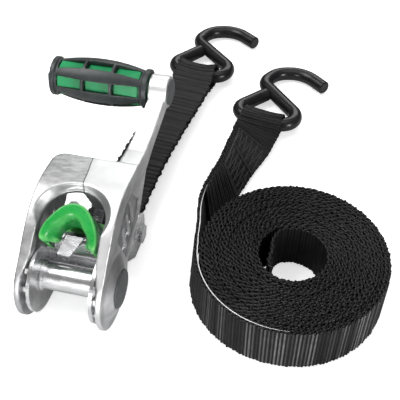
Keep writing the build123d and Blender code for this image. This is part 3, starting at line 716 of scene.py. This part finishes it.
def long_webbing():
    coil_points, coil_vectors = coil_path()
    bar, bar_axis, hook_run = hook_bar("long_hook_swing")
    start = coil_points[-1]
    before = coil_points[-40]
    near_bar = bar - hook_run * NEAR_BAR
    stations = [(before[0], before[1], LEAN_AT_COIL), (start[0], start[1], LEAN_AT_COIL), *TAIL_LINE,
                (near_bar[0], near_bar[1], LEAN_NEAR_BAR), (bar[0], bar[1], 0)]
    line = through(stations, TAIL_SPAN)[TAIL_SPAN:]
    lean = np.radians(line[:, 2])
    share = np.linspace(0, 1, len(line))
    spine = line.copy()
    spine[:, 2] = WEBBING_WIDTH / 2 * np.sin(lean) + TAIL_HEIGHT + (bar[2] - TAIL_HEIGHT) * share ** 6
    spine[:, 2] = np.minimum(spine[:, 2], start[2] + 0.2)
    run = np.gradient(spine, axis=0)
    run[:, 2] = 0
    run = unit_rows(run)
    level = np.stack([run[:, 1], -run[:, 0], np.zeros(len(run))], axis=1)
    across = level * np.cos(lean)[:, None] - np.array([0, 0, 1]) * np.sin(lean)[:, None]
    tail = spine[1:]
    tail_across = across[1:]
    path, vectors = layered(tail, tail_across, WIRE_R + WEBBING_THICK / 2 + 0.3, TAIL_OPENING, LAP)
    points, vectors = evenly(np.concatenate([coil_points, path]), np.concatenate([coil_vectors, vectors]))
    piece = webbing("long_webbing", points, vectors)
    bow_round_bar(piece, bar, bar_axis, hook_run, narrower=0.06, lift=0.0)
    finish_piece(piece, "long_strap", "black_webbing", "long_strap")
    sewn_patch(points, vectors, len(points) - 1)
    outer_line = np.concatenate([coil_points, tail])
    # painted highlight along the outer wrap's upper edge
    draw_edge_highlight(outer_line, np.concatenate([coil_vectors, tail_across]), len(coil_points))


# stitching of the lap: distance from the strap's free end and place across, in millimetres
PATCH_START = 36.0
PATCH_ROW = 27.0
PATCH_ROWS = 2
PATCH_TEETH = 5
PATCH_HALF = 15.5
THREAD_R = 0.42
STITCH = 3.2
STITCH_STEP = 0.8


def sewn_patch(points, vectors, last):
    """Rows of W-shaped stitching between straight lines across the strap."""
    corners = []
    for row in range(PATCH_ROWS):
        low = PATCH_START + row * PATCH_ROW
        corners += [(low, -PATCH_HALF), (low, PATCH_HALF)]
        for tooth in range(2 * PATCH_TEETH + 1):
            across = PATCH_HALF * (1 - tooth / PATCH_TEETH)
            corners.append((low + (PATCH_ROW - 2 if tooth % 2 else 1.5), across))
    end = PATCH_START + PATCH_ROWS * PATCH_ROW
    corners += [(end, -PATCH_HALF), (end, PATCH_HALF)]
    line = []
    for (d0, a0), (d1, a1) in zip(corners, corners[1:]):
        count = max(2, int(math.hypot(d1 - d0, a1 - a0) / STITCH_STEP))
        for k in range(count):
            share = k / count
            i = last - int((d0 + (d1 - d0) * share) / WEB_STEP)
            run = points[i + 1] - points[i - 1]
            out = -np.cross(vectors[i], run / np.linalg.norm(run))
            stitch = math.sin(2 * math.pi * share * count * STITCH_STEP / STITCH)
            rise = WEBBING_THICK / 2 + THREAD_R + 0.12 * stitch
            line.append(Vector(points[i] + vectors[i] * (a0 + (a1 - a0) * share) + out * rise) * MM)
    stitches = tube("long_webbing_stitches", line, THREAD_R * MM, THREAD, 5)
    finish_piece(stitches, "long_strap", "black_webbing")


# the painted highlight line: points of the outer wrap and of the tail that it follows, and its radius
HIGHLIGHT_WRAP = 140
HIGHLIGHT_TAIL = 95
HIGHLIGHT_R = 0.34


def draw_edge_highlight(points, acrosses, coil_count):
    """Painted highlight: a pale line along the upper edge of the loose outer wrap and the first part of the tail.
    """
    first = coil_count - HIGHLIGHT_WRAP
    last = coil_count + HIGHLIGHT_TAIL
    line = []
    radii = []
    for i in range(first, last, 2):
        share = (i - first) / (last - first)
        inward = COIL_CENTRE - points[i]
        inward[2] = 0
        inward /= np.linalg.norm(inward)
        place = points[i] - acrosses[i] * (WEBBING_WIDTH / 2 - 0.1) + inward * (WEBBING_THICK / 2 - 0.1)
        line.append(Vector(place) * MM)
        radii.append(HIGHLIGHT_R * MM * min(1.0, 0.15 + 4 * min(share, 1 - share)))
    finish_piece(tube("long_webbing_edge_highlight", line, radii, EDGE_HIGHLIGHT, 6), "long_strap", "black_webbing")


BOW_BEHIND = 16  # the change fades in over this length behind the bar
BOW_AHEAD = 30
BOW_ASIDE = 24
EDGE_PULL = 1.8


def bow_round_bar(piece, bar, bar_axis, hook_run, narrower, lift):
    """The webbing follows the round corners of the eye: narrower there, its edges pulled out and lifted."""
    mesh = piece.data
    points = np.zeros(len(mesh.vertices) * 3)
    mesh.vertices.foreach_get("co", points)
    points = points.reshape(-1, 3)
    offset = points / MM - bar
    sideways = offset @ bar_axis
    forward = offset @ hook_run
    near = np.clip((forward + BOW_BEHIND) / BOW_BEHIND, 0, 1)
    near = near * (np.abs(sideways) < BOW_ASIDE) * (np.abs(forward) < BOW_AHEAD)
    to_edge = np.clip(np.abs(sideways) / (WEBBING_WIDTH / 2), 0, 1.1) ** 3 * near
    squeeze = -narrower * sideways * near
    rise = lift * to_edge * np.clip(offset[:, 2] / WIRE_R, 0, 1)
    points += (EDGE_PULL * to_edge[:, None] * hook_run + squeeze[:, None] * bar_axis) * MM
    points[:, 2] += rise * MM
    mesh.vertices.foreach_set("co", points.ravel())
    mesh.update()


SLEEVE_R = 6.0
SHORT_STRAP_SHIFT = 5.0
SPINE_POINTS = 241
START_PULL = 95
END_PULL = 75
START_OPENING = 30
END_OPENING = 24
SCALLOP = 0.9


def closed_strap(name, start, end, start_radius, end_radius, back, forward, across_start, across_end):
    """Strap sewn as one long loop round two bars; it starts and ends in the middle of its lower layer."""
    spine = bezier(start, start + back * START_PULL, end - forward * END_PULL, end, SPINE_POINTS)
    share = np.linspace(0, 1, SPINE_POINTS)
    across = across_start[None, :] * (1 - share[:, None]) + across_end[None, :] * share[:, None]
    run, up = directions(spine, across)
    travelled = np.concatenate([[0], np.cumsum(np.linalg.norm(np.diff(spine, axis=0), axis=1))])
    left = travelled[-1] - travelled
    touch = WEBBING_THICK / 2 + 0.15
    near = np.array([smoothstep(1 - d / START_OPENING) for d in travelled])
    far = np.array([smoothstep(1 - d / END_OPENING) for d in left])
    offset = touch + (start_radius - touch) * near + (end_radius - touch) * far
    top = spine + up * offset[:, None]
    beneath = spine - up * offset[:, None]
    turn = np.linspace(math.pi / 2, -math.pi / 2, BAR_POINTS)[1:-1]
    far_nose = half_turn(end, run[-1], up[-1], end_radius, turn)
    near_nose = half_turn(start, -run[0], -up[0], start_radius, turn)
    middle = len(spine) // 2
    path = np.concatenate([beneath[middle - 1::-1], near_nose, top, far_nose, beneath[:middle + 1:-1]])
    vectors = np.concatenate([
        across[middle - 1::-1],
        np.repeat(across[:1], len(near_nose), axis=0),
        across,
        np.repeat(across[-1:], len(far_nose), axis=0),
        across[:middle + 1:-1],
    ])
    points, vectors = evenly(path, vectors)
    return webbing(name, points, vectors, scallop=SCALLOP)


long_webbing()
short_bar, short_bar_axis, short_hook_run = hook_bar("short_hook_swing")
short = closed_strap(
    "short_webbing",
    start=np.array(anchor.at(SHORT_STRAP_SHIFT, 0, 0)) / MM,
    end=short_bar,
    start_radius=SLEEVE_R + WEBBING_THICK / 2 + 0.3,
    end_radius=WIRE_R + WEBBING_THICK / 2 + 0.8,
    back=np.array(ratchet.y),
    forward=short_hook_run,
    across_start=np.array(ACROSS),
    across_end=short_bar_axis,
)
bow_round_bar(short, short_bar, short_bar_axis, short_hook_run, narrower=0.08, lift=2.6)
finish_piece(short, "short_strap", "black_webbing", "short_strap")


# ---------------------------------------------------------------- handle casting and grip
GROOVE_START = 22
GROOVE_END = 52
GROOVE_HALF_HEIGHT = 4.5
GROOVE_OUTSIDE = 29.2


def pawl_groove(point):
    """The grooves the pawl slides in keep their size."""
    offset = point - handle.origin
    x = abs(offset.dot(handle.x)) / MM
    y = offset.dot(handle.y) / MM
    z = abs(offset.dot(handle.z) / MM)
    return GROOVE_START < y < GROOVE_END and z < GROOVE_HALF_HEIGHT and x < GROOVE_OUTSIDE


casting_voxel, sleeve_voxel = ((0.6, 0.35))
casting = softened_copy("handle_casting_soft", "handle_casting", casting_voxel, 12, ALUMINIUM, pawl_groove)
finish_piece(casting, "handle", "cast_aluminium", "handle_casting")
sleeve = softened_copy("grip_sleeve_soft", "grip_sleeve", sleeve_voxel, 3, RUBBER)
finish_piece(sleeve, "grip", "grip_rubber", "grip_sleeve")


# ---------------------------------------------------------------- release lever
LEVER_Y = 22.5
LEVER_START = -26.0
LEVER_TURN = 226.0
LEVER_STATIONS = 72
LEVER_TOP = 32.0
LEVER_RISE = 4.1
LEVER_LIP = 15.8
LEVER_WAIST = 2.6
ROUNDED_END = (0.72, 0.92, 0.985)


def smooth_loop(points, per_span):
    """Closed smooth line through the points."""
    count = len(points)
    loop = []
    for i in range(count):
        corners = [np.array(points[(i + k - 1) % count]) for k in range(4)]
        loop += [catmull_rom(*corners, k / per_span) for k in range(per_span)]
    return loop


def lever_section(share):
    """Section of the lever at a share of its way round: distance from its middle line and height."""
    apex = math.sin(math.pi * share)
    waist = LEVER_WAIST * math.sin(2 * math.pi * share) ** 2
    top = LEVER_TOP + LEVER_RISE * apex
    lip = LEVER_LIP - 2.8 * apex - waist
    return [
        (17.0, 5), (18.9, 4.9), (19.3, 6), (19.3, 14), (19.3 - 0.3 * waist, 22),
        (19.7 - 0.8 * waist, top - 5), (20.4 - waist, top - 1.5), (19.6 - waist, top + 0.2),
        (18.0 - waist, top + 0.2), (lip, top - 1.0), (lip - 2.0, top - 4.2),
        (10.4 - 0.3 * waist, 24.5), (9.0, 20), (8.7, 18.6), (9.6, 17.9),
        (12, 21.0), (14.0 - 0.3 * waist, 24.5), (15.6 - 0.3 * waist, 25.5), (16.9, 19), (16.9, 10),
    ]


def sculpted_lever():
    rows = []
    for i in range(LEVER_STATIONS + 1):
        share = i / LEVER_STATIONS
        angle = math.radians(LEVER_START + LEVER_TURN * share)
        loop = smooth_loop(lever_section(share), 3)
        middle = np.mean(loop, axis=0)
        from_end = min(i, LEVER_STATIONS - i)
        shrink = ROUNDED_END[from_end] if from_end < len(ROUNDED_END) else 1.0
        for point in loop:
            radius, height = middle + (point - middle) * shrink
            rows.append(handle.at(radius * math.cos(angle), LEVER_Y + radius * math.sin(angle), height))
    columns = len(rows) // (LEVER_STATIONS + 1)
    faces = grid_faces(LEVER_STATIONS + 1, columns)
    faces.append(tuple(reversed(range(columns))))
    faces.append(tuple(range(LEVER_STATIONS * columns, (LEVER_STATIONS + 1) * columns)))
    obj = new_mesh_object("release_lever_saddle", rows, faces, LEVER_GREEN, 50)
    obj.data.flip_normals()
    return obj


def rounded_box(name, axes, low, high, bevel, material):
    xs, ys, zs = zip(low, high)
    corners = [axes.at(x, y, z) for x in xs for y in ys for z in zs]
    faces = [(0, 1, 3, 2), (4, 6, 7, 5), (0, 4, 5, 1), (2, 3, 7, 6), (0, 2, 6, 4), (1, 5, 7, 3)]
    mesh = bmesh.new()
    verts = [mesh.verts.new(corner) for corner in corners]
    for face in faces:
        mesh.faces.new([verts[k] for k in face])
    bmesh.ops.recalc_face_normals(mesh, faces=mesh.faces)
    bmesh.ops.bevel(mesh, geom=mesh.edges[:], offset=bevel * MM, segments=3, profile=0.5, affect="EDGES")
    data = bpy.data.meshes.new(name)
    mesh.to_mesh(data)
    mesh.free()
    data.materials.append(material)
    data.polygons.foreach_set("use_smooth", [True] * len(data.polygons))
    obj = bpy.data.objects.new(name, data)
    bpy.context.scene.collection.objects.link(obj)
    return obj


saddle = sculpted_lever()
finish_piece(saddle, "drive_pawl", "green_plastic", "release_lever")
FOOT_LOW = (-17, 30.9, 1.55)
FOOT_HIGH = (17, 39.9, 6.5)
foot = rounded_box("release_lever_foot", handle, FOOT_LOW, FOOT_HIGH, 0.8, LEVER_GREEN)
finish_piece(foot, "drive_pawl", "green_plastic")


# ---------------------------------------------------------------- springs
SPRING_WIRE_R = 0.45
STEPS_PER_TURN = 20


def helix(axes, x, start, end, radius, turns):
    points = []
    count = turns * STEPS_PER_TURN
    for i in range(count + 1):
        angle = 2 * math.pi * turns * i / count
        y = start + (end - start) * i / count
        points.append(axes.at(x + radius * math.cos(angle), y, radius * math.sin(angle)))
    return points


def spring_between(spring, pawl, holder, start, end, node):
    """Hides the CAD spring and bakes the new coil's placement into its mesh."""
    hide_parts(node)
    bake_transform(spring)


drive_helix = helix(handle, x=6.0, start=40.8, end=51.4, radius=3.2, turns=6)
drive_spring = tube("drive_pawl_spring_coil", drive_helix, SPRING_WIRE_R * MM, STEEL, 8)
drive_seats = handle.at(6, 41.4, 0), handle.at(6, 50.8, 0)
spring_between(drive_spring, "drive_pawl", "handle", *drive_seats, "drive_pawl_spring")
lock_helix = helix(lock, x=0.0, start=36.8, end=42.6, radius=3.0, turns=4)
lock_spring = tube("lock_pawl_spring_coil", lock_helix, SPRING_WIRE_R * MM, STEEL, 8)
lock_seats = lock.at(0, 37.4, 0), lock.at(0, 42.0, 0)
spring_between(lock_spring, "lock_pawl", "base", *lock_seats, "lock_pawl_spring")


# ---------------------------------------------------------------- studio
def area_light(name, place, target, size, power):
    light = bpy.data.lights.new(name, "AREA")
    light.shape = "RECTANGLE"
    light.size, light.size_y = size
    light.energy = power
    obj = bpy.data.objects.new(name, light)
    bpy.context.scene.collection.objects.link(obj)
    obj.location = place
    obj.rotation_euler = (Vector(target) - Vector(place)).to_track_quat("-Z", "Y").to_euler()
    return obj


def pale_floor():
    """Pale floor; it looks near white to the camera without throwing more light on the object."""
    pale = (0.86, 0.86, 0.86)
    m = Material("floor", pale, 0.9)
    m.shader.inputs["Specular IOR Level"].default_value = 0.0
    path = m.node("ShaderNodeLightPath")
    m.color(m.mix(path.outputs["Is Glossy Ray"], pale, (0.62, 0.62, 0.62)))
    m.shader.inputs["Emission Color"].default_value = (1, 1, 1, 1)
    m.link(m.math("MULTIPLY", path.outputs["Is Camera Ray"], 0.6), m.shader.inputs["Emission Strength"])
    reach = 4.0
    corners = [(-reach, -reach, 0), (reach, -reach, 0), (reach, reach, 0), (-reach, reach, 0)]
    mesh = bpy.data.meshes.new("floor")
    mesh.from_pydata(corners, [], [(0, 1, 2, 3)])
    mesh.materials.append(m.material)
    obj = bpy.data.objects.new("floor", mesh)
    bpy.context.scene.collection.objects.link(obj)


def studio():
    pale_floor()
    world = bpy.data.worlds.new("studio")
    bpy.context.scene.world = world
    world.use_nodes = True
    nodes = world.node_tree.nodes
    links = world.node_tree.links
    background = nodes["Background"]
    coords = nodes.new("ShaderNodeTexCoord")
    parts = nodes.new("ShaderNodeSeparateXYZ")
    ramp = nodes.new("ShaderNodeValToRGB")
    links.new(coords.outputs["Generated"], parts.inputs["Vector"])
    links.new(parts.outputs["Z"], ramp.inputs["Fac"])
    ramp.color_ramp.elements[0].position = 0.0
    ramp.color_ramp.elements[0].color = (0.10, 0.10, 0.10, 1)
    ramp.color_ramp.elements[1].position = 0.9
    ramp.color_ramp.elements[1].color = (0.55, 0.55, 0.55, 1)
    links.new(ramp.outputs["Color"], background.inputs["Color"])
    background.inputs["Strength"].default_value = 0.4
    area_light("key", (-0.8, 0.1, 1.3), (-0.05, -0.05, 0), (0.9, 0.7), 13)
    area_light("top", (0.1, 0.1, 1.6), (0, 0, 0), (1.5, 1.3), 8)
    area_light("back", (0.3, 1.3, 0.9), (0, 0, 0), (1.2, 0.4), 7)
    area_light("front_left", (-0.45, -1.25, 0.28), (0, -0.1, 0), (0.14, 0.5), 8)
    area_light("front_right", (0.9, -0.9, 0.35), (0.05, -0.1, 0), (0.14, 0.5), 8)


CAMERA_PLACE = (-0.0041, -0.4471, 0.427)
CAMERA_DIP = 46.4
LENS = 66.5
SENSOR = 36


def camera():
    data = bpy.data.cameras.new("camera")
    data.lens = LENS
    data.sensor_width = SENSOR
    obj = bpy.data.objects.new("camera", data)
    bpy.context.scene.collection.objects.link(obj)
    obj.location = CAMERA_PLACE
    obj.rotation_euler = (math.radians(90 - CAMERA_DIP), 0, 0)
    bpy.context.scene.camera = obj


studio()
camera()
bpy.context.scene.view_settings.view_transform = "Standard"
